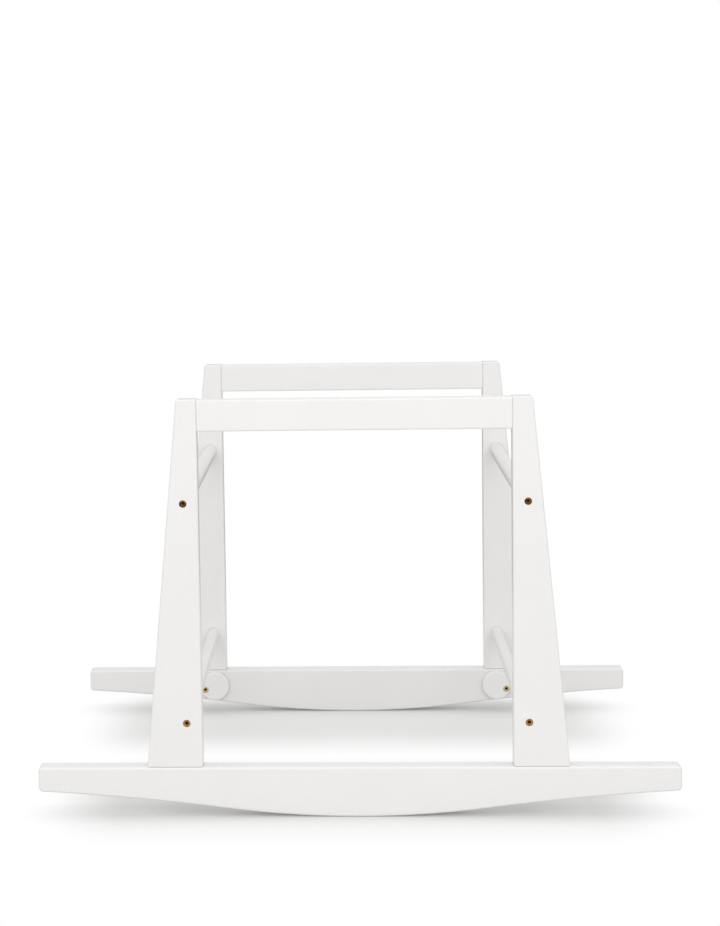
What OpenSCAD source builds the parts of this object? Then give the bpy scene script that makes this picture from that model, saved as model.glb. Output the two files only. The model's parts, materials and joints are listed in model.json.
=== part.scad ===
// Rocking stand: two painted wooden side frames joined by four round bars.
// X runs along the rockers, Y from the front frame to the rear frame, Z up from the floor.
// The origin lies on the floor, midway between the frames and midway along the rockers.

/* [Overall] */
// Length of a rocker, tip to tip
stand_l = 810; // [740:5:880]
// Width over the outer faces of the two rockers
stand_w = 430; // [360:5:500]
// Height of the leg tops above the floor
stand_h = 532; // [480:1:600]

/* [Rockers] */
// Thickness of a rocker board
rocker_t = 20; // [18:0.5:26]
// Height of a rocker's straight top edge above the floor
rocker_h = 64.5; // [60:0.5:72]
// Height of the underside of a rocker's tips above the floor
tip_rise = 33; // [29:0.5:38]
// Radius of the arc that rolls on the floor
roll_r = 1260; // [1120:10:1400]
// Distance from the middle to the end of the rolling arc
roll_half = 163; // [145:1:185]
// Rounding of a rocker's edges
rocker_ease = 3; // [1.5:0.25:4]
// Corner radius of a rocker's tips
tip_round = 5; // [4.5:0.5:10]

/* [Legs] */
// Thickness of the legs
leg_t = 18; // [16:0.5:20]
// Width of a leg at its top
leg_top_w = 25.5; // [23:0.5:36]
// Width of a leg where it stands on the rocker
leg_foot_w = 70.5; // [60:0.5:90]
// Distance between the inner edges of a frame's two legs
leg_gap = 391; // [360:1:420]
// Slanted cut on the outer corner of a leg's top
leg_clip = 2.5; // [1:0.25:5]
// Slanted cuts on the two corners of a leg's foot
foot_clip = 1.5; // [0.5:0.25:3]
// Rounding of the open edges of the legs and rails
board_ease = 2; // [1:0.25:3]
// Rounding of the edges where one board butts against another
joint_ease = 0.8; // [0.4:0.1:1.5]

/* [Top rails] */
// Height of a top rail
rail_h = 39.5; // [32:0.5:50]
// Thickness of a top rail
rail_t = 18; // [16:0.5:20]
// Step from a leg's top down to the rail's top
rail_drop = 1; // [0.5:0.25:3]

/* [Bars] */
// Diameter of the four round bars
bar_d = 20; // [18:0.5:25]
// Height of the axes of the two support bars
support_bar_z = 401; // [360:1:430]
// Height of the axes of the two lower bars
lower_bar_z = 121; // [105:1:180]
// Distance from a leg's inner edge to the axis of its support bar
support_bar_inset = 19; // [15:0.5:22]
// Distance from a leg's inner edge to the axis of its lower bar
lower_bar_inset = 19.5; // [15:0.5:30]

/* [Leg bolts] */
// Diameter of the bolts' shanks
bolt_d = 6; // [5:0.5:7]
// Diameter of the bolts' heads
bolt_head_d = 9.25; // [8.75:0.25:11]
// Height of the bolts' heads
bolt_head_h = 6; // [4.5:0.25:7]
// Hexagon key size across the flats
bolt_key = 4; // [3:0.5:5]
// Depth of a bolt head below the face of the wood
bolt_sink = 0.6; // [0.2:0.1:1.5]
// Diameter of the barrel nuts in the bars
nut_d = 10; // [9:0.5:11]
// Length of the barrel nuts
nut_l = 12; // [10:0.5:13]
// Distance from a bar's end to the axis of its barrel nut
nut_inset = 28; // [20:1:40]

/* [Dowel pins] */
// Diameter of the wooden dowel pins
dowel_d = 8; // [6:0.5:10]
// Depth of the foot dowels in the rocker and in the leg
foot_dowel_depth = 20; // [15:0.5:22]
// Depth of the rail dowels in the leg
rail_dowel_depth_leg = 15; // [10:0.5:18]
// Depth of the rail dowels in the rail
rail_dowel_depth_rail = 25; // [15:0.5:35]

/* [Rocking stops] */
// Diameter of a stop disc
stop_d = 44; // [42:0.5:48]
// Thickness of a stop disc
stop_t = 7; // [6:0.5:12]
// Distance from a disc's centre to its pivot bolt
stop_offset = 15; // [11:0.5:15.5]
// Distance from the middle of the rocker to the pivots
stop_pivot_x = 228; // [215:0.5:240]
// Height of the pivots above the floor
stop_pivot_z = 36.5; // [32:0.5:38]
// Angle of a raised disc above the horizontal, seen from its pivot
stop_tilt = 18; // [0:1:60]
// Rounding of a disc's rim
stop_ease = 2.5; // [1:0.25:3]
// Height of the pivot bolts' low heads
stop_head_h = 4; // [3.5:0.25:4.5]
// Hexagon key size of the pivot bolts across the flats
stop_key = 4; // [3:0.5:5]
// Depth of a pivot bolt's head below the face of its disc
stop_sink = 0.5; // [0.3:0.1:1]
// Diameter of the washer behind each disc
washer_d = 12; // [11:0.5:13]
// Thickness of the washer behind each disc
washer_t = 0.8; // [0.5:0.1:2]
// Diameter of the threaded insert in the rocker
insert_d = 9; // [8.5:0.25:10]
// Length of the threaded insert in the rocker
insert_l = 13; // [10:0.5:15]

/* [Hidden] */

// Colours of the paint, the bare wood and the metals
paint_white = "#f1f0ee";
dowel_wood = "#d8b98a";
bolt_bronze = "#b5853f";
nut_zinc = "#c3c4c4";

// Radial clearances of the glued pins, the bolts and their heads, the nuts and the turning discs
glue_gap = 0.05;
bolt_gap = 0.4;
head_gap = 0.15;
thread_gap = 0.05;
nut_gap = 0.15;
stop_gap = 0.08;
// Clearance along the pivot on each side of a disc
stop_play = 0.2;
// Amount by which every cut passes the surface that it opens
overrun = 1;
// Chamfers of the bolt heads, the bar ends and the dowel pins
head_chamfer = 0.6;
bar_chamfer = 0.8;
dowel_chamfer = 0.8;
// Depth of the hexagon sockets in the leg bolts and the pivot bolts, and length of bolt past its nut
key_depth = 3;
stop_key_depth = 2.3;
bolt_past = 2;
// Room at the blind end of the drilled holes
drill_room = 1;

// The roundings are arcs that meet each face at a slight angle, as a sanded edge does
ease_centre_share = 1.25;
ease_radius_share = norm([ease_centre_share, ease_centre_share - 1]);
// Places of the two foot dowels across a leg's foot, and of the two rail dowels up a rail
foot_dowel_shares = [0.25, 0.75];
rail_dowel_shares = [0.25, 0.75];

// Segments of round shapes, of the two arcs and the tip's corners of a rocker, and of its edges
$fn = 48;
roll_steps = 9;
tip_steps = 9;
corner_steps = 4;
ease_steps = 4;
hexagon = 6;

// Mid-plane of a side frame, the leg's inner edge and the bars' axes in X and Z, for the rear right quarter
frame_y = (stand_w - rocker_t) / 2;
leg_x = leg_gap / 2;
support_bar = [leg_x + support_bar_inset, support_bar_z];
lower_bar = [leg_x + lower_bar_inset, lower_bar_z];
rail_top = stand_h - rail_drop;
rail_z = rail_top - rail_h;

// Each tip's hollow arc touches the rolling arc at roll_half and ends at the underside of the tip
tip_x = stand_l / 2;
roll_angle = asin(roll_half / roll_r);
tip_drop = tip_rise - roll_r;
centres_apart = (tip_x * tip_x + tip_drop * tip_drop - roll_r * roll_r)
    / (2 * (tip_x * sin(roll_angle) - tip_drop * cos(roll_angle) - roll_r));
tip_r = centres_apart - roll_r;
tip_centre = [centres_apart * sin(roll_angle), roll_r - centres_apart * cos(roll_angle)];
// Where the tip's arc gives way to the rounding of the tip's lower corner
tip_angle = asin((tip_centre.x + tip_round - tip_x) / (tip_r + tip_round));

// Leg bolt: seat of its head from the leg's outer face, and its length under the head
bolt_seat = bolt_sink + bolt_head_h;
leg_bolt_l = leg_t - bolt_seat + nut_inset + nut_d / 2 + bolt_past;
bar_l = 2 * frame_y - leg_t;

// Stop: faces of the washer and the disc along Y, from the rear rocker's inner face toward the middle
rocker_inner_y = frame_y - rocker_t / 2;
washer_y = rocker_inner_y - washer_t;
stop_back_y = washer_y - stop_play;
stop_front_y = stop_back_y - stop_t;
stop_bore = stop_sink + stop_head_h;
stop_seat_y = stop_front_y + stop_bore - stop_play;
stop_bolt_l = rocker_inner_y + insert_l - stop_seat_y;
stop_centre = [
    stop_pivot_x - stop_offset * cos(stop_tilt),
    stop_pivot_z + stop_offset * sin(stop_tilt)
];

// Width of a leg at height z
function leg_w(z) = leg_foot_w + (leg_top_w - leg_foot_w) * (z - rocker_h) / (stand_h - rocker_h);

// Places its children, made for the rear right quarter, in any quarter of the stand
module quarter(x_side, y_side) {
    mirror([x_side < 0 ? 1 : 0, 0, 0])
        mirror([0, y_side < 0 ? 1 : 0, 0])
            children();
}

// Stands children drawn flat in X and Z up in a frame's mid-plane
module upright() {
    translate([0, frame_y, 0])
        rotate([90, 0, 0])
            children();
}

// Section of the wood that rounding takes off a square corner at zero, inward to +X and down to -Y
module ease_profile(ease) {
    centre = ease * ease_centre_share;
    difference() {
        translate([-overrun, -centre])
            square(centre + overrun);
        translate([centre, -centre])
            circle(ease * ease_radius_share);
    }
}

// Rounding along the straight edge from p to q on both faces of a flat board, inward to its left
module straight_ease(p, q, thickness, ease) {
    run = q - p;
    for (face = [0, 1])
        mirror([0, 0, face])
            translate([p.x, p.y, thickness / 2])
                rotate(atan2(run.y, run.x))
                    translate([-overrun, 0, 0])
                        rotate([90, 0, 90])
                            linear_extrude(norm(run) + 2 * overrun)
                                ease_profile(ease);
}

// Flat board with a convex outline, drawn anticlockwise, and its own rounding along each edge
module eased_board(points, thickness, eases) {
    difference() {
        linear_extrude(thickness, center = true)
            polygon(points);
        for (i = [0:len(points) - 1])
            straight_ease(points[i], points[(i + 1) % len(points)], thickness, eases[i]);
    }
}

// Point of a circle at an angle from +X
function on_circle(centre, radius, angle) = centre + radius * [cos(angle), sin(angle)];

// Right half of a rocker's outline, from the middle of its lower edge to its top, moved into the wood
function half_outline(inset) = let (
    low_centre = on_circle(tip_centre, tip_r + tip_round, 90 + tip_angle),
    top_centre = [tip_x - tip_round, rocker_h - tip_round]
) concat(
    [for (i = [0:roll_steps])
        on_circle([0, roll_r], roll_r - inset, 270 + roll_angle * i / roll_steps)],
    [for (i = [1:tip_steps])
        on_circle(tip_centre, tip_r + inset, 90 + roll_angle + (tip_angle - roll_angle) * i / tip_steps)],
    [for (i = [1:corner_steps])
        on_circle(low_centre, tip_round - inset, (tip_angle - 90) * (1 - i / corner_steps))],
    [for (i = [0:corner_steps])
        on_circle(top_centre, tip_round - inset, 90 * i / corner_steps)]
);

// Whole outline of a rocker, anticlockwise, moved into the wood
function rocker_outline(inset) = let (half = half_outline(inset)) concat(
    half,
    [for (i = [len(half) - 1:-1:1]) [-half[i].x, half[i].y]]
);

// Rocker board lofted through its thickness, with the outline drawn in at both faces for round edges
module rocker_loft() {
    angles = [for (i = [0:ease_steps]) 90 * i / ease_steps];
    insets = [for (angle = angles) rocker_ease * (1 - sin(angle))];
    levels = [for (angle = angles) rocker_t / 2 - rocker_ease * (1 - cos(angle))];
    last = 2 * ease_steps + 1;
    half = len(half_outline(0));
    count = len(rocker_outline(0));
    rings = [for (i = [0:last]) let (k = min(i, last - i))
        [for (p = rocker_outline(insets[k])) [p.x, p.y, i < last - i ? -levels[k] : levels[k]]]];
    sides = [for (i = [0:last - 1], j = [0:count - 1])
        let (a = i * count + j, b = i * count + (j + 1) % count)
        each [[a, a + count, b + count], [a, b + count, b]]];
    // Each flat face is cut into level strips between two points and their mirror images
    strips = [for (j = [0:half - 2])
        j == 0 ? [0, 1, count - 1] : [j, j + 1, count - j - 1, count - j]];
    polyhedron(
        points = [for (ring = rings) each ring],
        faces = concat(
            sides,
            strips,
            [for (strip = strips) [for (k = [len(strip) - 1:-1:0]) last * count + strip[k]]]
        )
    );
}

// Hole for a pin, drilled depth deep along +Z and open below zero
module pin_hole(depth) {
    translate([0, 0, -overrun])
        cylinder(d = dowel_d + 2 * glue_gap, h = depth + overrun + drill_room);
}

// Dowel pin with chamfered ends, reaching below deep and above high
module pin(below, above) {
    half = dowel_d / 2;
    rotate_extrude()
        polygon([
            [0, -below],
            [half - dowel_chamfer, -below],
            [half, dowel_chamfer - below],
            [half, above - dowel_chamfer],
            [half - dowel_chamfer, above],
            [0, above]
        ]);
}

// Places of the two foot dowels of the rear right leg
module foot_dowel_places() {
    for (share = foot_dowel_shares)
        translate([leg_x + leg_foot_w * share, frame_y, rocker_h])
            children();
}

// Places of the two rail dowels at the rear right leg, with +Z turned into the rail
module rail_dowel_places() {
    for (share = rail_dowel_shares)
        translate([leg_x, frame_y, rail_z + rail_h * share])
            rotate([0, -90, 0])
                children();
}

// Places of a leg's two bolts on the frame's mid-plane, with +Z turned outward
module leg_bolt_places() {
    for (axis = [lower_bar, support_bar])
        translate([axis.x, frame_y, axis.y])
            rotate([-90, 0, 0])
                children();
}

// Socket head bolt with its head's seat at zero and its shank down -Z
module socket_bolt(shank_l, head_h, key, socket_depth) {
    head_r = bolt_head_d / 2;
    difference() {
        union() {
            rotate_extrude()
                polygon([
                    [0, 0],
                    [head_r, 0],
                    [head_r, head_h - head_chamfer],
                    [head_r - head_chamfer, head_h],
                    [0, head_h]
                ]);
            translate([0, 0, -shank_l])
                cylinder(d = bolt_d, h = shank_l + head_chamfer);
        }
        translate([0, 0, head_h - socket_depth])
            cylinder(d = key / cos(180 / hexagon), h = socket_depth + overrun, $fn = hexagon);
    }
}

// Round bar along Y with blind bolt holes in its ends and nut holes open below
module bar(x_side, axis) {
    half = bar_l / 2;
    bolt_depth = leg_bolt_l - leg_t + bolt_seat + drill_room;
    nut_top = nut_l / 2 + nut_gap;
    color(paint_white)
        quarter(x_side, 1)
            translate([axis.x, 0, axis.y])
                difference() {
                    rotate([-90, 0, 0])
                        rotate_extrude()
                            polygon([
                                [0, -half],
                                [bar_d / 2 - bar_chamfer, -half],
                                [bar_d / 2, bar_chamfer - half],
                                [bar_d / 2, half - bar_chamfer],
                                [bar_d / 2 - bar_chamfer, half],
                                [0, half]
                            ]);
                    for (end = [0, 1])
                        mirror([0, end, 0])
                            translate([0, half, 0]) {
                                translate([0, -bolt_depth, 0])
                                    rotate([-90, 0, 0])
                                        cylinder(d = bolt_d + 2 * bolt_gap, h = bolt_depth + overrun);
                                translate([0, -nut_inset, -bar_d / 2 - overrun])
                                    cylinder(d = nut_d + 2 * nut_gap, h = bar_d / 2 + overrun + nut_top);
                            }
                }
}

// Four barrel nuts in a pair of bars, each with its cross hole for a bolt
module bar_nuts(axis) {
    color(nut_zinc)
        for (x_side = [-1, 1], y_side = [-1, 1])
            quarter(x_side, y_side)
                translate([axis.x, bar_l / 2 - nut_inset, axis.y])
                    difference() {
                        cylinder(d = nut_d, h = nut_l, center = true);
                        rotate([90, 0, 0])
                            cylinder(d = bolt_d + 2 * thread_gap, h = nut_d + 2 * overrun, center = true);
                    }
}

// Rocker board of one frame, drilled for the foot dowels and for the stops' inserts
module rocker(y_side) {
    color(paint_white)
        quarter(1, y_side)
            difference() {
                upright()
                    rocker_loft();
                for (x_side = [-1, 1])
                    quarter(x_side, 1) {
                        foot_dowel_places()
                            rotate([180, 0, 0])
                                pin_hole(foot_dowel_depth);
                        translate([stop_pivot_x, rocker_inner_y - overrun, stop_pivot_z])
                            rotate([-90, 0, 0])
                                cylinder(d = insert_d + 2 * glue_gap, h = insert_l + overrun + drill_room);
                    }
            }
}

// Leg with an upright inner edge and a slanting outer edge, counterbored for its two bolts
module leg(x_side, y_side) {
    outline = [
        [leg_x + foot_clip, rocker_h],
        [leg_x + leg_foot_w - foot_clip, rocker_h],
        [leg_x + leg_w(rocker_h + foot_clip), rocker_h + foot_clip],
        [leg_x + leg_w(stand_h - leg_clip), stand_h - leg_clip],
        [leg_x + leg_top_w - leg_clip, stand_h],
        [leg_x, stand_h],
        [leg_x, rocker_h + foot_clip]
    ];
    eases = [joint_ease, joint_ease, board_ease, joint_ease, board_ease, board_ease, joint_ease];
    color(paint_white)
        quarter(x_side, y_side)
            difference() {
                upright()
                    eased_board(outline, leg_t, eases);
                foot_dowel_places()
                    pin_hole(foot_dowel_depth);
                rail_dowel_places()
                    rotate([180, 0, 0])
                        pin_hole(rail_dowel_depth_leg);
                leg_bolt_places() {
                    cylinder(d = bolt_d + 2 * bolt_gap, h = leg_t + 2 * overrun, center = true);
                    translate([0, 0, leg_t / 2 - bolt_seat])
                        cylinder(d = bolt_head_d + 2 * head_gap, h = bolt_seat + overrun);
                }
            }
}

// Top rail between the inner edges of a frame's legs
module top_rail(y_side) {
    outline = [[-leg_x, rail_z], [leg_x, rail_z], [leg_x, rail_top], [-leg_x, rail_top]];
    eases = [board_ease, joint_ease, board_ease, joint_ease];
    color(paint_white)
        quarter(1, y_side)
            difference() {
                upright()
                    eased_board(outline, rail_t, eases);
                for (x_side = [-1, 1])
                    quarter(x_side, 1)
                        rail_dowel_places()
                            pin_hole(rail_dowel_depth_rail);
            }
}

// Half section of a stop disc from its own axis out to its rounded rim
module stop_section() {
    difference() {
        translate([0, -stop_t / 2])
            square([stop_d / 2, stop_t]);
        for (face = [0, 1])
            mirror([0, face])
                translate([stop_d / 2, stop_t / 2])
                    mirror([1, 0])
                        ease_profile(stop_ease);
    }
}

// Stop disc that turns on an off-centre bolt, counterbored for the bolt's head
module stop(x_side, y_side) {
    color(paint_white)
        quarter(x_side, y_side)
            difference() {
                translate([stop_centre.x, stop_front_y + stop_t / 2, stop_centre.y])
                    rotate([90, 0, 0])
                        rotate_extrude($fn = 96)
                            stop_section();
                translate([stop_pivot_x, stop_front_y, stop_pivot_z])
                    rotate([-90, 0, 0]) {
                        translate([0, 0, -overrun])
                            cylinder(d = bolt_d + 2 * stop_gap, h = stop_t + 2 * overrun);
                        translate([0, 0, -overrun])
                            cylinder(d = bolt_head_d + 2 * head_gap, h = stop_bore + overrun);
                    }
            }
}

// Four bolts through the legs of one frame
module leg_bolts(y_side) {
    color(bolt_bronze)
        for (x_side = [-1, 1])
            quarter(x_side, y_side)
                leg_bolt_places()
                    translate([0, 0, leg_t / 2 - bolt_seat])
                        socket_bolt(leg_bolt_l, bolt_head_h, bolt_key, key_depth);
}

// Four pins between the legs and the rocker of one frame
module foot_dowels(y_side) {
    color(dowel_wood)
        for (x_side = [-1, 1])
            quarter(x_side, y_side)
                foot_dowel_places()
                    pin(foot_dowel_depth, foot_dowel_depth);
}

// Four pins between the legs and the top rail of one frame
module rail_dowels(y_side) {
    color(dowel_wood)
        for (x_side = [-1, 1])
            quarter(x_side, y_side)
                rail_dowel_places()
                    pin(rail_dowel_depth_leg, rail_dowel_depth_rail);
}

// Two pivot bolts of one rocker's stops
module stop_bolts(y_side) {
    color(bolt_bronze)
        for (x_side = [-1, 1])
            quarter(x_side, y_side)
                translate([stop_pivot_x, stop_seat_y, stop_pivot_z])
                    rotate([90, 0, 0])
                        socket_bolt(stop_bolt_l, stop_head_h, stop_key, stop_key_depth);
}

// Two washers between one rocker and its stops
module stop_washers(y_side) {
    color(nut_zinc)
        for (x_side = [-1, 1])
            quarter(x_side, y_side)
                translate([stop_pivot_x, rocker_inner_y, stop_pivot_z])
                    rotate([90, 0, 0])
                        difference() {
                            cylinder(d = washer_d, h = washer_t);
                            translate([0, 0, -overrun])
                                cylinder(d = bolt_d + 2 * bolt_gap, h = washer_t + 2 * overrun);
                        }
}

// Two threaded inserts in one rocker, for the stops' bolts
module stop_inserts(y_side) {
    color(nut_zinc)
        for (x_side = [-1, 1])
            quarter(x_side, y_side)
                translate([stop_pivot_x, rocker_inner_y, stop_pivot_z])
                    rotate([-90, 0, 0])
                        difference() {
                            cylinder(d = insert_d, h = insert_l);
                            translate([0, 0, -overrun])
                                cylinder(d = bolt_d + 2 * thread_gap, h = insert_l + 2 * overrun);
                        }
}

rocker(-1);  // front_rocker
rocker(1);  // rear_rocker
leg(-1, -1);  // front_left_leg
leg(1, -1);  // front_right_leg
leg(-1, 1);  // rear_left_leg
leg(1, 1);  // rear_right_leg
top_rail(-1);  // front_top_rail
top_rail(1);  // rear_top_rail
bar(-1, support_bar);  // left_support_bar
bar(1, support_bar);  // right_support_bar
bar(-1, lower_bar);  // left_lower_bar
bar(1, lower_bar);  // right_lower_bar
stop(-1, -1);  // front_left_stop
stop(1, -1);  // front_right_stop
stop(-1, 1);  // rear_left_stop
stop(1, 1);  // rear_right_stop
leg_bolts(-1);  // front_leg_bolts
leg_bolts(1);  // rear_leg_bolts
bar_nuts(support_bar);  // support_bar_nuts
bar_nuts(lower_bar);  // lower_bar_nuts
foot_dowels(-1);  // front_foot_dowels
foot_dowels(1);  // rear_foot_dowels
rail_dowels(-1);  // front_rail_dowels
rail_dowels(1);  // rear_rail_dowels
stop_bolts(-1);  // front_stop_bolts
stop_bolts(1);  // rear_stop_bolts
stop_washers(-1);  // front_stop_washers
stop_washers(1);  // rear_stop_washers
stop_inserts(-1);  // front_stop_inserts
stop_inserts(1);  // rear_stop_inserts
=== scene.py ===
import json
import math

import bmesh
import bpy
from mathutils import Matrix, Vector


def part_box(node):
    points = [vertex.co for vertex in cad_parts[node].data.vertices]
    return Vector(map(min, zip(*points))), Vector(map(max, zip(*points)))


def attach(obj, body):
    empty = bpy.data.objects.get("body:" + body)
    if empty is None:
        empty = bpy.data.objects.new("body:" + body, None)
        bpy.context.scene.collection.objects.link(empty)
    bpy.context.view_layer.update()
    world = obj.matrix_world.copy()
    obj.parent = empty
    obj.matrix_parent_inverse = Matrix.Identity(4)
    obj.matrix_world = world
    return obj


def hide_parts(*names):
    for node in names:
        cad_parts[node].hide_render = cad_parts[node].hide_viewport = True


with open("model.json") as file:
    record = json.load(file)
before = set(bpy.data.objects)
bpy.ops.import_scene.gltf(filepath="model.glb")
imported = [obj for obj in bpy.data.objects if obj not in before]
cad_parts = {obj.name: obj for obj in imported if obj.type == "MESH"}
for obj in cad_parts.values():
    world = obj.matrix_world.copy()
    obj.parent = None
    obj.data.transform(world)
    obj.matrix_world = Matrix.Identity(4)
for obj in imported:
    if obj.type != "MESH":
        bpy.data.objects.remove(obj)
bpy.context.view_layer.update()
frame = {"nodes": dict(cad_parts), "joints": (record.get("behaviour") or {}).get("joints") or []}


# Rockers
# Two boards of close-grained hardwood, sawn to a shallow S and rounded over along every edge.
# They are sanded, primed and sprayed white, and the stand rolls on their middle arcs.
mm = 0.001
x_axis, y_axis, z_axis = range(3)
nodes = frame["nodes"]
paint_white = "#f2f1f0"
paint_shade = "#eeedeb"
paint_end = "#e9e7e5"
paint_smooth = 0.36
paint_rough = 0.46
wood_ior = 1.5
end_from = 0.75
end_to = 0.97
end_dulling = 0.14
grain_width = 4 * mm
grain_length = 160 * mm
grain_waver = 0.4
peel_width = 2.5 * mm
peel_share = 0.35
cloud_width = 70 * mm
relief_depth = 0.04 * mm
relief_strength = 0.5
# Painted shade in the cracks between boards: its grey, how far the occlusion looks, and where it starts
# and ends
crack_shade_grey = "#8f8a83"
crack_shade_reach = 3 * mm
crack_shade_rays = 8
crack_shade_full = 0.2
crack_shade_none = 0.6
upward_from = 0.1
upward_to = 0.5
shading_angle = math.radians(35)
weld_gap = 0.002 * mm
# A noise seldom leaves this range
noise_low = 0.3
noise_high = 0.7
# Sockets of a Mix node's two colours and of its result
colour_a = 6
colour_b = 7
mixed_colour = 2


def linear(colour):
    """Linear RGBA of an sRGB hex colour."""
    parts = [int(colour[i:i + 2], 16) / 255 for i in (1, 3, 5)]
    return [p / 12.92 if p <= 0.04045 else ((p + 0.055) / 1.055) ** 2.4 for p in parts] + [1.0]


def add_node(tree, kind, settings, links=None):
    """Adds a node, sets its properties and sockets by name or number, and links its inputs."""
    made = tree.nodes.new(kind)
    for key, value in settings.items():
        if isinstance(key, str) and hasattr(made, key):
            setattr(made, key, value)
        else:
            made.inputs[key].default_value = value
    for key, output in (links or {}).items():
        tree.links.new(output, made.inputs[key])
    return made


def new_material(name):
    """Empty node material with its output, ready for a shader."""
    material = bpy.data.materials.new(name)
    material.use_nodes = True
    tree = material.node_tree
    tree.nodes.clear()
    return material, tree, add_node(tree, "ShaderNodeOutputMaterial", {})


def satin_paint(name, grain_axis):
    """Sprayed white satin paint: even and soft in sheen, with the sanded grain just felt through it."""
    material, tree, output = new_material(name)
    place = add_node(tree, "ShaderNodeTexCoord", {})
    # The pores are about 0.2 mm wide, too fine to show, so the grain is drawn as 4 mm bands
    scale = [1 / grain_width] * 3
    scale[grain_axis] = 1 / grain_length
    along = add_node(tree, "ShaderNodeMapping", {"Scale": scale}, {"Vector": place.outputs["Object"]})
    grain = add_node(
        tree, "ShaderNodeTexNoise", {"Scale": 1, "Detail": 3, "Distortion": grain_waver},
        {"Vector": along.outputs["Vector"]})
    # Orange peel of the spray gun, about 1 mm in life and drawn at 2.5 mm
    peel = add_node(
        tree, "ShaderNodeTexNoise", {"Scale": 1 / peel_width, "Detail": 1},
        {"Vector": place.outputs["Object"]})
    cloud = add_node(
        tree, "ShaderNodeTexNoise", {"Scale": 1 / cloud_width, "Detail": 2},
        {"Vector": place.outputs["Object"]})
    # End grain drinks the paint, so it dries duller and a little darker
    facing = add_node(tree, "ShaderNodeSeparateXYZ", {}, {"Vector": place.outputs["Normal"]})
    facing_end = add_node(
        tree, "ShaderNodeMath", {"operation": "ABSOLUTE"}, {0: facing.outputs[grain_axis]})
    end = add_node(
        tree, "ShaderNodeMapRange",
        {"interpolation_type": "SMOOTHSTEP", "From Min": end_from, "From Max": end_to},
        {"Value": facing_end.outputs["Value"]})
    face_colour = add_node(
        tree, "ShaderNodeMix",
        {"data_type": "RGBA", colour_a: linear(paint_white), colour_b: linear(paint_shade)},
        {"Factor": cloud.outputs["Fac"]})
    colour = add_node(
        tree, "ShaderNodeMix", {"data_type": "RGBA", colour_b: linear(paint_end)},
        {"Factor": end.outputs["Result"], colour_a: face_colour.outputs[mixed_colour]})
    # Painted shade: the colour turns grey in the narrow cracks between boards, where ambient occlusion
    # finds them closed in, on faces that look up
    crack = add_node(tree, "ShaderNodeAmbientOcclusion", {"samples": crack_shade_rays, "Distance": crack_shade_reach})
    deep = add_node(
        tree, "ShaderNodeMapRange",
        {"From Min": crack_shade_full, "From Max": crack_shade_none, "To Min": 1.0, "To Max": 0.0},
        {"Value": crack.outputs["AO"]})
    upward = add_node(
        tree, "ShaderNodeMapRange", {"From Min": upward_from, "From Max": upward_to},
        {"Value": facing.outputs["Z"]})
    painted_crack_shade = add_node(
        tree, "ShaderNodeMath", {"operation": "MULTIPLY"},
        {0: deep.outputs["Result"], 1: upward.outputs["Result"]})
    crack_shaded = add_node(
        tree, "ShaderNodeMix", {"data_type": "RGBA", colour_b: linear(crack_shade_grey)},
        {"Factor": painted_crack_shade.outputs["Value"], colour_a: colour.outputs[mixed_colour]})
    face_roughness = add_node(
        tree, "ShaderNodeMapRange",
        {"From Min": noise_low, "From Max": noise_high, "To Min": paint_smooth, "To Max": paint_rough},
        {"Value": grain.outputs["Fac"]})
    roughness = add_node(
        tree, "ShaderNodeMath", {"operation": "MULTIPLY_ADD", 1: end_dulling},
        {0: end.outputs["Result"], 2: face_roughness.outputs["Result"]})
    height = add_node(
        tree, "ShaderNodeMath", {"operation": "MULTIPLY_ADD", 1: peel_share},
        {0: peel.outputs["Fac"], 2: grain.outputs["Fac"]})
    relief = add_node(
        tree, "ShaderNodeBump", {"Strength": relief_strength, "Distance": relief_depth},
        {"Height": height.outputs["Value"]})
    paint = add_node(
        tree, "ShaderNodeBsdfPrincipled", {"IOR": wood_ior},
        {"Base Color": crack_shaded.outputs[mixed_colour], "Roughness": roughness.outputs["Value"],
         "Normal": relief.outputs["Normal"]})
    tree.links.new(paint.outputs["BSDF"], output.inputs["Surface"])
    return material


def shading_group():
    """Modifier tree that welds a board's faces and smooths its rounded edges, but not its corners."""
    tree = bpy.data.node_groups.new("rounded_edges", "GeometryNodeTree")
    for direction in ("INPUT", "OUTPUT"):
        tree.interface.new_socket("Board", in_out=direction, socket_type="NodeSocketGeometry")
    board = add_node(tree, "NodeGroupInput", {})
    welded = add_node(
        tree, "GeometryNodeMergeByDistance", {"Distance": weld_gap}, {"Geometry": board.outputs["Board"]})
    fold = add_node(tree, "GeometryNodeInputMeshEdgeAngle", {})
    sharp = add_node(
        tree, "FunctionNodeCompare", {"operation": "GREATER_THAN", 1: shading_angle},
        {0: fold.outputs["Unsigned Angle"]})
    smooth = add_node(
        tree, "GeometryNodeSetMeshNormal",
        {"mode": "SHARPNESS", "Remove Custom": True, "Face Sharpness": False},
        {"Mesh": welded.outputs["Geometry"], "Edge Sharpness": sharp.outputs["Result"]})
    add_node(tree, "NodeGroupOutput", {}, {"Board": smooth.outputs["Mesh"]})
    return tree


rounded_edges = shading_group()


def paint_board(name, material):
    """Gives a wooden part its paint and even shading over its rounded edges."""
    board = nodes[name]
    board.material_slots[0].material = material
    board.modifiers.new("rounded_edges", "NODES").node_group = rounded_edges
    flat = board.modifiers.new("flat_faces", "WEIGHTED_NORMAL")
    flat.keep_sharp = True


paint_along_x = satin_paint("white_satin_paint_grain_along_x", x_axis)
for name in ("front_rocker", "rear_rocker"):
    paint_board(name, paint_along_x)


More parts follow.
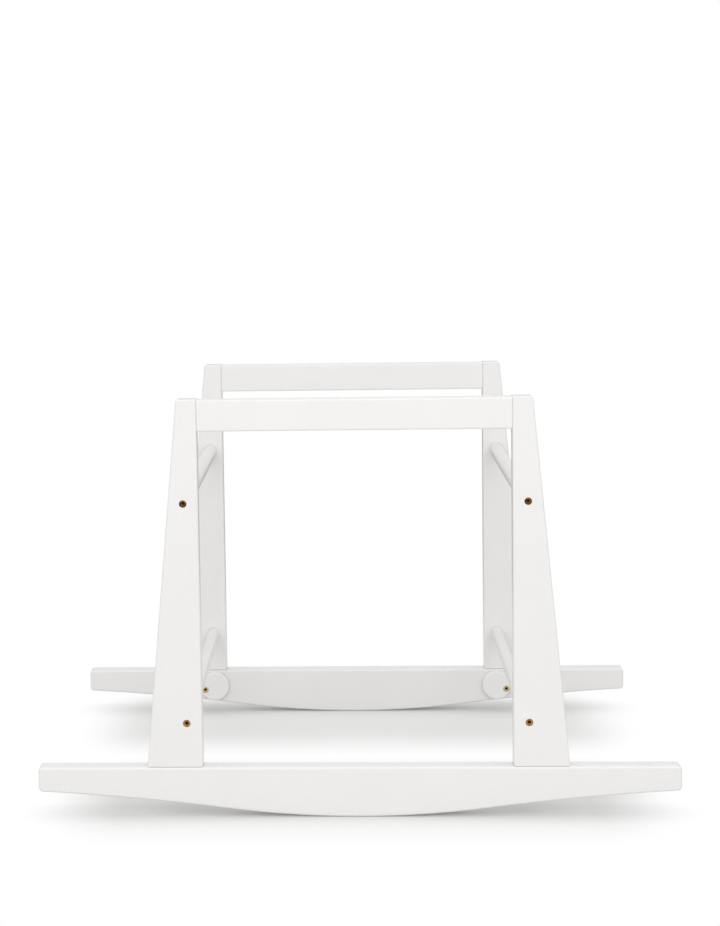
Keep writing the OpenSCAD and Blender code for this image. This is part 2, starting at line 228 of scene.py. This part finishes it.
# Threaded inserts
# Two zinc-plated steel sleeves in each rocker, with a coarse wood thread outside and an M6 thread inside.
# A hexagon key drives them into the rocker's inner face, where they take the pivot bolts of the stops.
turned_sides = 36
weld = 0.001 * mm
crease = math.radians(28)
zinc_bright = "#cfd1d2"
zinc_dull = "#a9adb0"
zinc_smooth = 0.26
zinc_rough = 0.42
zinc_stain_width = 2 * mm
zinc_stain_detail = 4
thread_flat = 0.125
spare_turns = 3
bolt_bore = 6.1 * mm
insert_root = 7.5 * mm
insert_pitch = 2.5 * mm
insert_plain = 0.8 * mm
insert_key_depth = 3.5 * mm
insert_mouth = 0.4 * mm
pivots = {joint["child"]: Vector(joint["pos_m"]) for joint in frame["joints"]}
sides_of_stand = {"front": -1, "rear": 1}


def hexagon(flats):
    """Radius of a hexagon of that width across its flats, as a function of the angle round it."""
    return lambda angle: flats / 2 / math.cos(angle % (math.pi / 3) - math.pi / 6)


def ring_point(place, radius, angle, height):
    """Point at a radius, an angle and a height about a place's Z axis."""
    return place @ Vector((radius * math.cos(angle), radius * math.sin(angle), height))


def axis_place(spot, direction):
    """Place at a spot whose Z axis points along a direction."""
    return Matrix.Translation(spot) @ Vector(direction).to_track_quat("Z", "Y").to_matrix().to_4x4()


def turn(skin, place, outline, sides=turned_sides):
    """Turns (radius, height) pairs about a place's Z axis. A radius may be a function of the angle."""
    made = []
    angles = [2 * math.pi * i / sides for i in range(sides)]
    rings = []
    for radius, height in outline:
        reach = radius if callable(radius) else lambda angle, fixed=radius: fixed
        rings.append([skin.verts.new(ring_point(place, reach(a), a, height)) for a in angles])
    for low, high in zip(rings, rings[1:]):
        for i in range(sides):
            j = (i + 1) % sides
            made.append(skin.faces.new((low[i], low[j], high[j], high[i])))
    return made


def cut_thread(skin, place, start, end, crest, root, pitch):
    """Adds a screw thread of two radii up a place's Z axis, which runs out to its root at both ends."""
    # Root and crest each have a flat of an eighth of the pitch, with a flank between them
    section = ((0, root), (thread_flat, root), (0.5, crest), (0.5 + thread_flat, crest))
    steps = len(section)
    run_out = pitch / 2
    turns = math.ceil((end - start) / pitch) + spare_turns
    rings = []
    for n in range(turns * steps):
        share, radius = section[n % steps]
        ring = []
        for i in range(turned_sides):
            height = start + pitch * (n // steps - 1 + share + i / turned_sides)
            height = min(max(height, start), end)
            cut = min(1, (height - start) / run_out, (end - height) / run_out)
            reach = root + (radius - root) * cut
            ring.append(skin.verts.new(ring_point(place, reach, 2 * math.pi * i / turned_sides, height)))
        rings.append(ring)
    # After a full turn each row of the thread meets the row one pitch above it
    for n in range(len(rings) - steps - 1):
        low = rings[n] + [rings[n + steps][0]]
        high = rings[n + 1] + [rings[n + steps + 1][0]]
        for i in range(turned_sides):
            skin.faces.new((low[i], low[i + 1], high[i + 1], high[i]))


def stained_metal(name, bright, dull, smooth, rough, stain_width, stain_detail):
    """Metal finish that is bright and smooth in places and stained duller and rougher in others."""
    material, tree, output = new_material(name)
    place = add_node(tree, "ShaderNodeTexCoord", {})
    stain = add_node(
        tree, "ShaderNodeTexNoise", {"Scale": 1 / stain_width, "Detail": stain_detail},
        {"Vector": place.outputs["Object"]})
    colour = add_node(
        tree, "ShaderNodeMix", {"data_type": "RGBA", colour_a: linear(bright), colour_b: linear(dull)},
        {"Factor": stain.outputs["Fac"]})
    roughness = add_node(
        tree, "ShaderNodeMapRange",
        {"From Min": noise_low, "From Max": noise_high, "To Min": smooth, "To Max": rough},
        {"Value": stain.outputs["Fac"]})
    metal = add_node(
        tree, "ShaderNodeBsdfPrincipled", {"Metallic": 1.0},
        {"Base Color": colour.outputs[mixed_colour], "Roughness": roughness.outputs["Result"]})
    tree.links.new(metal.outputs["BSDF"], output.inputs["Surface"])
    return material


def add_piece(name, skin, materials, node):
    """Welds a skin of turned shapes, and puts it in place of a fixed node of the stand."""
    bmesh.ops.remove_doubles(skin, verts=skin.verts, dist=weld)
    bmesh.ops.dissolve_degenerate(skin, edges=skin.edges, dist=weld)
    bmesh.ops.recalc_face_normals(skin, faces=skin.faces)
    mesh = bpy.data.meshes.new(name)
    skin.to_mesh(mesh)
    skin.free()
    for material in materials:
        mesh.materials.append(material)
    mesh.polygons.foreach_set("use_smooth", [True] * len(mesh.polygons))
    mesh.set_sharp_from_angle(angle=crease)
    piece = bpy.data.objects.new(name, mesh)
    bpy.context.scene.collection.objects.link(piece)
    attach(piece, "stand")
    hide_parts(node)


# Bright zinc plating on turned steel: a cool grey metal, blotched a little by its passivation
zinc = stained_metal(
    "zinc_plated_steel", zinc_bright, zinc_dull, zinc_smooth, zinc_rough,
    zinc_stain_width, zinc_stain_detail)
for end, side in sides_of_stand.items():
    node = end + "_stop_inserts"
    low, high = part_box(node)
    length = high.y - low.y
    mouth = low.y if side > 0 else high.y
    crest = (high.z - low.z) / 2
    key = hexagon(bolt_bore)
    key_corner = key(0)
    skin = bmesh.new()
    for hand in ("left", "right"):
        pivot = pivots[end + "_" + hand + "_stop"]
        place = axis_place((pivot.x, mouth, pivot.z), (0, side, 0))
        turn(skin, place, [
            (insert_root / 2, insert_plain), (insert_root / 2, 0.0), (key_corner, 0.0),
            (key, insert_mouth), (key, insert_key_depth), (bolt_bore / 2, insert_key_depth),
            (bolt_bore / 2, length), (insert_root / 2, length), (insert_root / 2, length - insert_plain),
        ])
        cut_thread(skin, place, insert_plain, length - insert_plain, crest, insert_root / 2, insert_pitch)
    add_piece(end + "_rocker_inserts", skin, [zinc], node)


# Dowel pins
# Fluted pins of bare beech, two in the foot of each leg and two in each end of the top rails.
# They are cut from milled rod with chamfered ends, and the flutes let the glue out as they are driven in.
beech_pale = "#dcb98d"
beech_dark = "#c79c69"
beech_fleck = "#9a6a3c"
beech_rough = 0.62
beech_relief = 0.4
beech_grain_width = 1.2 * mm
beech_grain_length = 14 * mm
fleck_width = 0.35 * mm
fleck_length = 2.5 * mm
fleck_from = 0.62
fleck_to = 0.7
fleck_share = 0.6
flutes = 18
flute_depth = 0.35 * mm
flute_sides = 4 * flutes
pin_chamfer = 0.8 * mm
foot_pins_apart = 35.25 * mm
rail_pin_length = 40 * mm
rail_pin_shares = (0.25, 0.75)


def bare_beech(name, grain_axis):
    """Milled beech without finish: pinkish straw, with short dark ray flecks along the grain."""
    material, tree, output = new_material(name)
    place = add_node(tree, "ShaderNodeTexCoord", {})
    tones = []
    for width, length in ((beech_grain_width, beech_grain_length), (fleck_width, fleck_length)):
        scale = [1 / width] * 3
        scale[grain_axis] = 1 / length
        along = add_node(tree, "ShaderNodeMapping", {"Scale": scale}, {"Vector": place.outputs["Object"]})
        tones.append(add_node(
            tree, "ShaderNodeTexNoise", {"Scale": 1, "Detail": 2}, {"Vector": along.outputs["Vector"]}))
    grain, ray = tones
    fleck = add_node(
        tree, "ShaderNodeMapRange", {"From Min": fleck_from, "From Max": fleck_to, "To Max": fleck_share},
        {"Value": ray.outputs["Fac"]})
    wood = add_node(
        tree, "ShaderNodeMix",
        {"data_type": "RGBA", colour_a: linear(beech_pale), colour_b: linear(beech_dark)},
        {"Factor": grain.outputs["Fac"]})
    colour = add_node(
        tree, "ShaderNodeMix", {"data_type": "RGBA", colour_b: linear(beech_fleck)},
        {"Factor": fleck.outputs["Result"], colour_a: wood.outputs[mixed_colour]})
    relief = add_node(
        tree, "ShaderNodeBump", {"Strength": beech_relief, "Distance": relief_depth},
        {"Height": grain.outputs["Fac"]})
    beech = add_node(
        tree, "ShaderNodeBsdfPrincipled", {"IOR": wood_ior, "Roughness": beech_rough},
        {"Base Color": colour.outputs[mixed_colour], "Normal": relief.outputs["Normal"]})
    tree.links.new(beech.outputs["BSDF"], output.inputs["Surface"])
    return material


def dowel_pin(skin, place, radius, length):
    """Adds one fluted pin that starts at a place and runs up its Z axis."""
    def fluted(angle):
        return radius - flute_depth * (0.5 - 0.5 * math.cos(flutes * angle))

    tip = radius - pin_chamfer
    turn(skin, place, [
        (0.0, 0.0), (tip, 0.0), (fluted, pin_chamfer),
        (fluted, length - pin_chamfer), (tip, length), (0.0, length),
    ], flute_sides)


beech_up = bare_beech("bare_beech_grain_along_z", z_axis)
beech_across = bare_beech("bare_beech_grain_along_x", x_axis)
for end in sides_of_stand:
    node = end + "_foot_dowels"
    low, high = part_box(node)
    radius = (high.y - low.y) / 2
    skin = bmesh.new()
    for hand in (-1, 1):
        for x in (high.x - radius, high.x - radius - foot_pins_apart):
            place = axis_place((hand * x, low.y + radius, low.z), (0, 0, 1))
            dowel_pin(skin, place, radius, high.z - low.z)
    add_piece(end + "_foot_pins", skin, [beech_up], node)

    node = end + "_rail_dowels"
    low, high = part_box(node)
    rail_low, rail_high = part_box(end + "_top_rail")
    radius = (high.y - low.y) / 2
    skin = bmesh.new()
    for hand in (-1, 1):
        for share in rail_pin_shares:
            height = rail_low.z + (rail_high.z - rail_low.z) * share
            place = axis_place((hand * high.x, low.y + radius, height), (-hand, 0, 0))
            dowel_pin(skin, place, radius, rail_pin_length)
    add_piece(end + "_rail_pins", skin, [beech_across], node)


# Legs
# Four boards, upright inside and slanting outside, sawn with their grain up the leg.
# Each stands on its rocker on two glued dowels and is counterbored for two bolts.
paint_along_z = satin_paint("white_satin_paint_grain_along_z", z_axis)
for name in ("front_left_leg", "front_right_leg", "rear_left_leg", "rear_right_leg"):
    paint_board(name, paint_along_z)


# Top rails
# Two straight boards between the tops of the legs, glued and dowelled at their ends.
# They share the rockers' timber and paint, with the grain along the rail.
for name in ("front_top_rail", "rear_top_rail"):
    paint_board(name, paint_along_x)


# Support bars
# Two round bars turned from hardwood and painted white, which carry the load high between the legs.
# Each is drawn tight between a front and a rear leg by a bolt in either end.
paint_along_y = satin_paint("white_satin_paint_grain_along_y", y_axis)
for name in ("left_support_bar", "right_support_bar"):
    paint_board(name, paint_along_y)


# Lower bars
# Two slimmer bars of round hardwood rod, painted alike, which brace the legs low down.
# Each is held by a bolt in either end too, and drilled from below for the bolts' nuts.
bar_d = 17 * mm
bar_chamfer = 1 * mm
bar_sides = 48
bolt_hole_d = 6.6 * mm
nut_play = 0.15 * mm
drill_room = 2 * mm
cut_past = 1 * mm


def carved(skin, tool):
    """Mesh of a closed skin with a tool's shape cut out of it."""
    made = []
    for name, shape in (("blank", skin), ("cutter", tool)):
        bmesh.ops.remove_doubles(shape, verts=shape.verts, dist=weld)
        bmesh.ops.recalc_face_normals(shape, faces=shape.faces)
        mesh = bpy.data.meshes.new(name)
        shape.to_mesh(mesh)
        shape.free()
        made.append(bpy.data.objects.new(name, mesh))
        bpy.context.scene.collection.objects.link(made[-1])
    blank, cutter = made
    cut = blank.modifiers.new("cut", "BOOLEAN")
    cut.operation = "DIFFERENCE"
    cut.solver = "EXACT"
    cut.use_self = True
    cut.object = cutter
    mesh = bpy.data.meshes.new_from_object(blank.evaluated_get(bpy.context.evaluated_depsgraph_get()))
    for each in made:
        bpy.data.objects.remove(each)
    return mesh


def drilled_bar(half, bolt_end, nut_y, nut_r, nut_top):
    """Mesh of one bar along Y, with a bolt hole in each end and two nut holes in its underside."""
    skin = bmesh.new()
    radius = bar_d / 2
    turn(skin, axis_place((0, 0, 0), (0, 1, 0)), [
        (0.0, -half), (radius - bar_chamfer, -half), (radius, bar_chamfer - half),
        (radius, half - bar_chamfer), (radius - bar_chamfer, half), (0.0, half),
    ], bar_sides)
    tool = bmesh.new()
    bolt_r = bolt_hole_d / 2
    bolt_depth = half - bolt_end + cut_past
    nut_depth = nut_top + radius + cut_past
    for side in sides_of_stand.values():
        turn(tool, axis_place((0, side * bolt_end, 0), (0, side, 0)), [
            (0.0, 0.0), (bolt_r, 0.0), (bolt_r, bolt_depth), (0.0, bolt_depth),
        ])
        turn(tool, axis_place((0, side * nut_y, nut_top), (0, 0, -1)), [
            (0.0, 0.0), (nut_r, 0.0), (nut_r, nut_depth), (0.0, nut_depth),
        ])
    return carved(skin, tool)


bolt_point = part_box("rear_leg_bolts")[0].y
nut_low, nut_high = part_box("lower_bar_nuts")
bar_low, bar_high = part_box("right_lower_bar")
nut_r = nut_high.x - (bar_low.x + bar_high.x) / 2
nut_top = (nut_high.z - nut_low.z) / 2 + nut_play
rod = drilled_bar(bar_high.y, bolt_point - drill_room, nut_high.y - nut_r, nut_r + nut_play, nut_top)
for hand in ("left", "right"):
    node = hand + "_lower_bar"
    bar_low, bar_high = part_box(node)
    skin = bmesh.new()
    skin.from_mesh(rod)
    bmesh.ops.translate(skin, vec=(bar_low + bar_high) / 2, verts=skin.verts)
    add_piece(hand + "_lower_rod", skin, [paint_along_y], node)


# Barrel nuts
# Short zinc-plated steel rods in the undersides of the bars, cross-drilled and tapped for the bolts.
# A screwdriver slot in the lower end lines the hole up with the bolt as it is driven in.
nut_chamfer = 0.5 * mm
slot_width = 1.2 * mm
slot_depth = 1.5 * mm


def barrel_nut(radius, length):
    """Mesh of one nut, its axis up, its tapped hole along Y and its slot below."""
    skin = bmesh.new()
    half = length / 2
    turn(skin, Matrix(), [
        (0.0, -half), (radius - nut_chamfer, -half), (radius, nut_chamfer - half),
        (radius, half - nut_chamfer), (radius - nut_chamfer, half), (0.0, half),
    ])
    tool = bmesh.new()
    past = radius + cut_past
    bore = bolt_bore / 2
    turn(tool, axis_place((0, 0, 0), (0, 1, 0)), [(0.0, -past), (bore, -past), (bore, past), (0.0, past)])
    slot = Matrix.Translation((0, 0, -half)) @ Matrix.Diagonal((slot_width, 2 * past, 2 * slot_depth, 1))
    bmesh.ops.create_cube(tool, size=1, matrix=slot)
    return carved(skin, tool)


for level in ("support", "lower"):
    node = level + "_bar_nuts"
    low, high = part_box(node)
    bar_low, bar_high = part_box("right_" + level + "_bar")
    radius = high.x - (bar_low.x + bar_high.x) / 2
    blank_nut = barrel_nut(radius, high.z - low.z)
    skin = bmesh.new()
    for hand in (-1, 1):
        for side in sides_of_stand.values():
            nut = blank_nut.copy()
            spot = (hand * (high.x - radius), side * (high.y - radius), (low.z + high.z) / 2)
            nut.transform(Matrix.Translation(spot))
            skin.from_mesh(nut)
            bpy.data.meshes.remove(nut)
    add_piece(level + "_bar_barrel_nuts", skin, [zinc], node)


# Leg bolts
# Steel socket-head bolts, plated yellow bronze, two through each leg into the nuts of its bars.
# The heads are cold-formed with a rounded rim and a hexagon socket, and sit just below the painted face.
bronze_gold = "#c9965e"
bronze_brown = "#a5703e"
plate_smooth = 0.2
plate_rough = 0.32
plate_stain_width = 3 * mm
plate_stain_detail = 3
# Painted shade of the hexagon sockets: near-black steel with a light clouding
socket_shade_grey = "#3a3530"
socket_shade_black = "#1e1b18"
socket_smooth = 0.35
socket_rough = 0.55
socket_shade_width = 1.5 * mm
socket_shade_detail = 2
socket_shade_index = 1
thread_pitch = 1 * mm
thread_depth = 0.61 * mm
thread_length = 24 * mm
bolt_head_d = 9.25 * mm
leg_head_h = 6 * mm
leg_key = 4 * mm
leg_key_depth = 3 * mm
bolt_d = 6 * mm
rim_round = 0.6 * mm
rim_steps = 4
seat_round = 0.3 * mm
key_chamfer = 0.35 * mm
key_drill = 0.8 * mm
point_length = 0.8 * mm


def socket_bolt(skin, place, length, head_h, key_size, key_depth):
    """Adds one bolt with the top of its head at a place, facing up its Z axis."""
    key = hexagon(key_size)
    head = bolt_head_d / 2
    shank = bolt_d / 2
    root = shank - thread_depth
    thread_end = point_length - length
    thread_start = min(thread_end + thread_length, -head_h - 2 * seat_round - thread_depth)
    rim = [math.pi / 2 * (1 - i / rim_steps) for i in range(rim_steps + 1)]
    rounded = [(head - rim_round * (1 - math.cos(a)), rim_round * (math.sin(a) - 1)) for a in rim]
    socket = turn(skin, place, [
        (0.0, -key_depth - key_drill), (key_size / 2, -key_depth), (key, -key_depth), (key, -key_chamfer),
    ])
    # The socket's faces take the near-black steel, which paints the shade deep in the socket
    for face in socket:
        face.material_index = socket_shade_index
    turn(skin, place, [
        (key, -key_chamfer), (key(0) + key_chamfer / 2, 0.0), *rounded, (head, seat_round - head_h),
        (head - seat_round, -head_h), (shank + seat_round, -head_h), (shank, -head_h - seat_round),
        (shank, thread_start + thread_depth), (root, thread_start),
    ])
    cut_thread(skin, place, thread_end, thread_start, shank, root, thread_pitch)
    turn(skin, place, [(root, thread_end), (root - point_length / 2, -length), (0.0, -length)])


# Yellow bronze plating on cold-formed steel: warm and lightly clouded, with a soft shine
bronze = stained_metal(
    "bronze_plated_steel", bronze_gold, bronze_brown, plate_smooth, plate_rough,
    plate_stain_width, plate_stain_detail)
# Painted shade in the sockets: a nearly black, lightly clouded steel stands in for the shade deep in each
# hexagon socket
socket_shade_steel = stained_metal(
    "painted_shade_socket_steel", socket_shade_grey, socket_shade_black, socket_smooth, socket_rough, socket_shade_width, socket_shade_detail)
for end, side in sides_of_stand.items():
    node = end + "_leg_bolts"
    low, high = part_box(node)
    face = high.y if side > 0 else low.y
    skin = bmesh.new()
    for level in ("support", "lower"):
        for hand in ("left", "right"):
            bar_low, bar_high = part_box(hand + "_" + level + "_bar")
            centre = (bar_low + bar_high) / 2
            place = axis_place((centre.x, face, centre.z), (0, side, 0))
            socket_bolt(skin, place, high.y - low.y, leg_head_h, leg_key, leg_key_depth)
    add_piece(end + "_leg_socket_bolts", skin, [bronze, socket_shade_steel], node)


# Washers
# A thin zinc-plated steel washer on each pivot, between the rocker and its stop.
# They are stamped from sheet, which leaves their edges slightly rounded, and keep the paint from rubbing.
washer_bore = 6.8 * mm
washer_round = 0.15 * mm
for end in sides_of_stand:
    node = end + "_stop_washers"
    low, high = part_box(node)
    thick = high.y - low.y
    inner = washer_bore / 2
    outer = (high.z - low.z) / 2
    skin = bmesh.new()
    for hand in ("left", "right"):
        pivot = pivots[end + "_" + hand + "_stop"]
        turn(skin, axis_place((pivot.x, low.y, pivot.z), (0, 1, 0)), [
            (inner + washer_round, 0.0), (outer - washer_round, 0.0), (outer, washer_round),
            (outer, thick - washer_round), (outer - washer_round, thick), (inner + washer_round, thick),
            (inner, thick - washer_round), (inner, washer_round), (inner + washer_round, 0.0),
        ])
    add_piece(end + "_stop_plain_washers", skin, [zinc], node)


# Stops
# Four thin wooden discs with rounded rims, each hung off-centre on the inner face of a rocker.
# Turned down on their pivot bolts they meet the floor and keep the stand from rocking.
for name in pivots:
    paint_board(name, paint_along_x)


# Pivot bolts
# Low-head socket bolts of brass-plated steel, one through each stop into its insert.
# The head sits in a counterbore with a little play, so that the disc turns stiffly beneath it.
brass_pale = "#dec489"
brass_dull = "#c5a86d"
stop_head_h = 4 * mm
stop_key = 4 * mm
stop_key_depth = 2.3 * mm
# Brass plating on cold-formed steel: paler and yellower than the bronze, with the same soft shine
brass = stained_metal(
    "brass_plated_steel", brass_pale, brass_dull, plate_smooth, plate_rough,
    plate_stain_width, plate_stain_detail)
for end, side in sides_of_stand.items():
    node = end + "_stop_bolts"
    low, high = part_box(node)
    face = low.y if side > 0 else high.y
    skin = bmesh.new()
    for hand in ("left", "right"):
        pivot = pivots[end + "_" + hand + "_stop"]
        place = axis_place((pivot.x, face, pivot.z), (0, -side, 0))
        socket_bolt(skin, place, high.y - low.y, stop_head_h, stop_key, stop_key_depth)
    add_piece(end + "_pivot_bolts", skin, [brass, socket_shade_steel], node)


# Studio
# A pale seamless paper floor that keeps the stand's soft shadow and runs out to plain white.
# White walls light the stand evenly, helped by two soft lamps beside the camera and one overhead.
floor_colour = "#dadad9"
floor_reach = 12.0
shadow_line = (0, 0.15, 0)
shadow_core = (0.295, 0.04, 0)
white_to = 0.12
paper_from = 0.5
paper_to = 0.9
dark_floor = 0.02
floor_lift = 0.17
contact_reach = 0.045
contact_rays = 16
contact_share = 0.45
lamps_lean = 0.6
ambient = 0.72
lamp_aim = (0, 0, 0.25)
left_lamp = (-0.8, -2.4, 1.5)
right_lamp = (0.8, -2.4, 1.5)
front_lamp_size = 1.6
front_lamp_watts = 13.9
overhead_lamp = (0, -0.3, 2.4)
overhead_lamp_size = 1.8
overhead_lamp_watts = 2.8


def studio_rays(tree):
    """One where a ray comes from the camera or from a reflection, and zero for lighting."""
    path = add_node(tree, "ShaderNodeLightPath", {})
    direct = add_node(
        tree, "ShaderNodeMath", {"operation": "MAXIMUM"},
        {0: path.outputs["Is Camera Ray"], 1: path.outputs["Is Glossy Ray"]})
    seen = add_node(
        tree, "ShaderNodeMath", {"operation": "MAXIMUM"},
        {0: direct.outputs["Value"], 1: path.outputs["Is Transmission Ray"]})
    return seen.outputs["Value"]


def seamless_paper():
    """Matt paper that keeps the stand's shadow, plain white further out and dark far off in the metal."""
    material, tree, output = new_material("matt_white_paper")
    seen = studio_rays(tree)
    path = add_node(tree, "ShaderNodeLightPath", {})
    place = add_node(tree, "ShaderNodeTexCoord", {})
    # Distance from the core of the shadow that lies along each rocker
    spot = place.outputs["Object"]
    for operation, amount in (
            ("ABSOLUTE", (0, 0, 0)), ("SUBTRACT", shadow_line), ("ABSOLUTE", (0, 0, 0)),
            ("SUBTRACT", shadow_core), ("MAXIMUM", (0, 0, 0))):
        step = add_node(tree, "ShaderNodeVectorMath", {"operation": operation, 1: amount}, {0: spot})
        spot = step.outputs["Vector"]
    reach = add_node(tree, "ShaderNodeVectorMath", {"operation": "LENGTH"}, {0: spot})
    far = add_node(
        tree, "ShaderNodeMapRange",
        {"interpolation_type": "SMOOTHSTEP", "From Min": 0.0, "From Max": white_to},
        {"Value": reach.outputs["Value"]})
    far_seen = add_node(
        tree, "ShaderNodeMath", {"operation": "MULTIPLY"}, {0: far.outputs["Result"], 1: seen})
    past_end = add_node(
        tree, "ShaderNodeMapRange",
        {"interpolation_type": "SMOOTHSTEP", "From Min": paper_from, "From Max": paper_to},
        {"Value": reach.outputs["Value"]})
    past_end_in_metal = add_node(
        tree, "ShaderNodeMath", {"operation": "MULTIPLY"},
        {0: past_end.outputs["Result"], 1: path.outputs["Is Glossy Ray"]})
    level = add_node(
        tree, "ShaderNodeMapRange", {"To Min": 1.0, "To Max": dark_floor},
        {"Value": past_end_in_metal.outputs["Value"]})
    lift = add_node(tree, "ShaderNodeMath", {"operation": "MULTIPLY", 1: floor_lift}, {0: seen})
    paper = add_node(tree, "ShaderNodeBsdfDiffuse", {"Color": linear(floor_colour)})
    glow = add_node(
        tree, "ShaderNodeEmission", {"Color": linear("#ffffff")}, {"Strength": lift.outputs["Value"]})
    near = add_node(
        tree, "ShaderNodeAddShader", {}, {0: paper.outputs["BSDF"], 1: glow.outputs["Emission"]})
    white = add_node(
        tree, "ShaderNodeEmission", {"Color": linear("#ffffff")}, {"Strength": level.outputs["Result"]})
    mixed = add_node(
        tree, "ShaderNodeMixShader", {},
        {0: far_seen.outputs["Value"], 1: near.outputs["Shader"], 2: white.outputs["Emission"]})
    # Little light gets in under the rockers, where they come down to the paper
    to_lamps = add_node(tree, "ShaderNodeCombineXYZ", {"Y": -lamps_lean, "Z": 1.0})
    open_side = add_node(
        tree, "ShaderNodeAmbientOcclusion", {"samples": contact_rays, "Distance": contact_reach},
        {"Normal": to_lamps.outputs["Vector"]})
    closed = add_node(
        tree, "ShaderNodeMapRange", {"To Min": contact_share, "To Max": 0.0},
        {"Value": open_side.outputs["AO"]})
    dark = add_node(tree, "ShaderNodeBsdfDiffuse", {"Color": linear("#000000")})
    shaded = add_node(
        tree, "ShaderNodeMixShader", {},
        {0: closed.outputs["Result"], 1: mixed.outputs["Shader"], 2: dark.outputs["BSDF"]})
    tree.links.new(shaded.outputs["Shader"], output.inputs["Surface"])
    return material


def pale_floor():
    """Flat floor that the rockers stand on."""
    mesh = bpy.data.meshes.new("studio_floor")
    corners = [(x * floor_reach, y * floor_reach, 0) for x, y in ((-1, -1), (1, -1), (1, 1), (-1, 1))]
    mesh.from_pydata(corners, [], [(0, 1, 2, 3)])
    mesh.materials.append(seamless_paper())
    floor = bpy.data.objects.new("studio_floor", mesh)
    bpy.context.scene.collection.objects.link(floor)


def white_room():
    """Room that lights the stand softly and looks white to the camera and in the metal."""
    world = bpy.data.worlds.new("white_room")
    bpy.context.scene.world = world
    world.use_nodes = True
    tree = world.node_tree
    tree.nodes.clear()
    level = add_node(
        tree, "ShaderNodeMapRange", {"To Min": ambient, "To Max": 1.0}, {"Value": studio_rays(tree)})
    room = add_node(
        tree, "ShaderNodeBackground", {"Color": linear("#ffffff")}, {"Strength": level.outputs["Result"]})
    add_node(tree, "ShaderNodeOutputWorld", {}, {"Surface": room.outputs["Background"]})


def softbox(name, place, size, watts):
    """Square soft lamp at a place, turned to the middle of the stand."""
    lamp = bpy.data.lights.new(name, "AREA")
    lamp.shape = "SQUARE"
    lamp.size = size
    lamp.energy = watts
    box = bpy.data.objects.new(name, lamp)
    box.location = place
    box.rotation_euler = (Vector(lamp_aim) - Vector(place)).to_track_quat("-Z", "Y").to_euler()
    bpy.context.scene.collection.objects.link(box)


pale_floor()
white_room()
softbox("left_softbox", left_lamp, front_lamp_size, front_lamp_watts)
softbox("right_softbox", right_lamp, front_lamp_size, front_lamp_watts)
softbox("overhead_softbox", overhead_lamp, overhead_lamp_size, overhead_lamp_watts)


# Camera
# The photograph's viewpoint: a little over two metres in front of the stand and just above its top.
# Its focal length, optical axis and tilt were matched to the corners of the two side frames.
photo_w = 720
photo_h = 926
photo_focal = 1559.5
photo_axis = (286.9, 317.7)
eye = (-0.0116, -2.1306, 0.7751)
turned_left = math.radians(2.069)
tipped_down = math.radians(4.256)
rolled = math.radians(0.873)
sensor = 36

lens = bpy.data.cameras.new("studio_camera")
lens.sensor_width = sensor
lens.lens = photo_focal * sensor / photo_h
lens.shift_x = (photo_w / 2 - photo_axis[0]) / photo_h
lens.shift_y = (photo_axis[1] - photo_h / 2) / photo_h
camera = bpy.data.objects.new("studio_camera", lens)
level = Matrix.Rotation(turned_left, 4, "Z") @ Matrix.Rotation(math.pi / 2 - tipped_down, 4, "X")
camera.matrix_world = Matrix.Translation(eye) @ level @ Matrix.Rotation(-rolled, 4, "Z")
bpy.context.scene.collection.objects.link(camera)
bpy.context.scene.camera = camera
bpy.context.scene.view_settings.view_transform = "Standard"

bpy.context.view_layer.update()
